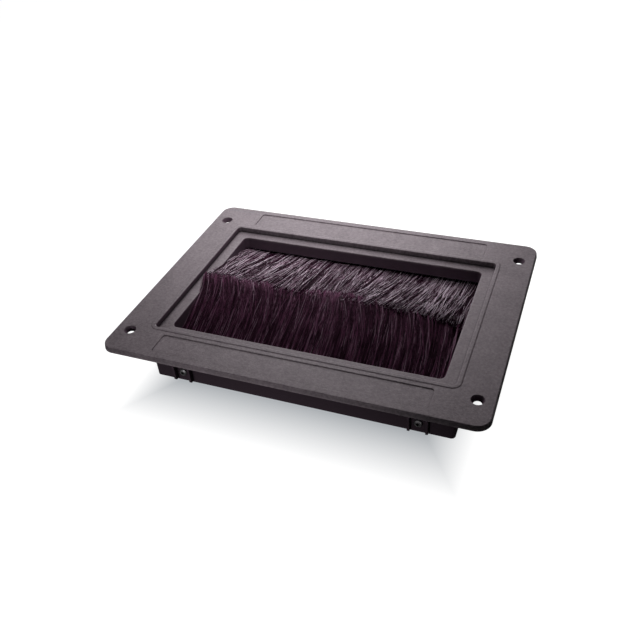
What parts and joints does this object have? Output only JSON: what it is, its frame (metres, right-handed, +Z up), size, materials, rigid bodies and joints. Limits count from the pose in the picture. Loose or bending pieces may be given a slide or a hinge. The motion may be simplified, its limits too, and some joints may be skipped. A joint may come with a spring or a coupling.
{
  "type": "raised floor grommet",
  "caption": "Moulded frame that drops into a raised-floor cut-out, with a screw-down flange and opposed brush strips that close its cable opening.",
  "frame": {"origin": "middle of the floor screw pattern on the flange's underside, the plane that lies on the floor panel", "axes": "+X along the long side, +Y to the back, +Z up out of the floor"},
  "size_m": [0.28, 0.2084, 0.0438],
  "materials": {
    "frame_plastic": "charcoal moulded plastic with a fine spark-eroded texture",
    "holder_plastic": "black extruded plastic, smooth along the extrusion",
    "channel_steel": "folded galvanised strip",
    "wire_steel": "drawn steel wire",
    "filament_nylon": "black nylon filaments with a soft sheen",
    "screw_steel": "dark plated steel"
  },
  "bodies": {
    "root": {"frame": "frame_plastic", "front_brush_holder": "holder_plastic", "rear_brush_holder": "holder_plastic", "front_brush_channel": "channel_steel", "rear_brush_channel": "channel_steel", "front_core_wire": "wire_steel", "rear_core_wire": "wire_steel", "front_filaments": "filament_nylon", "rear_filaments": "filament_nylon", "holder_screws": "screw_steel"}
  },
  "joints": []
}
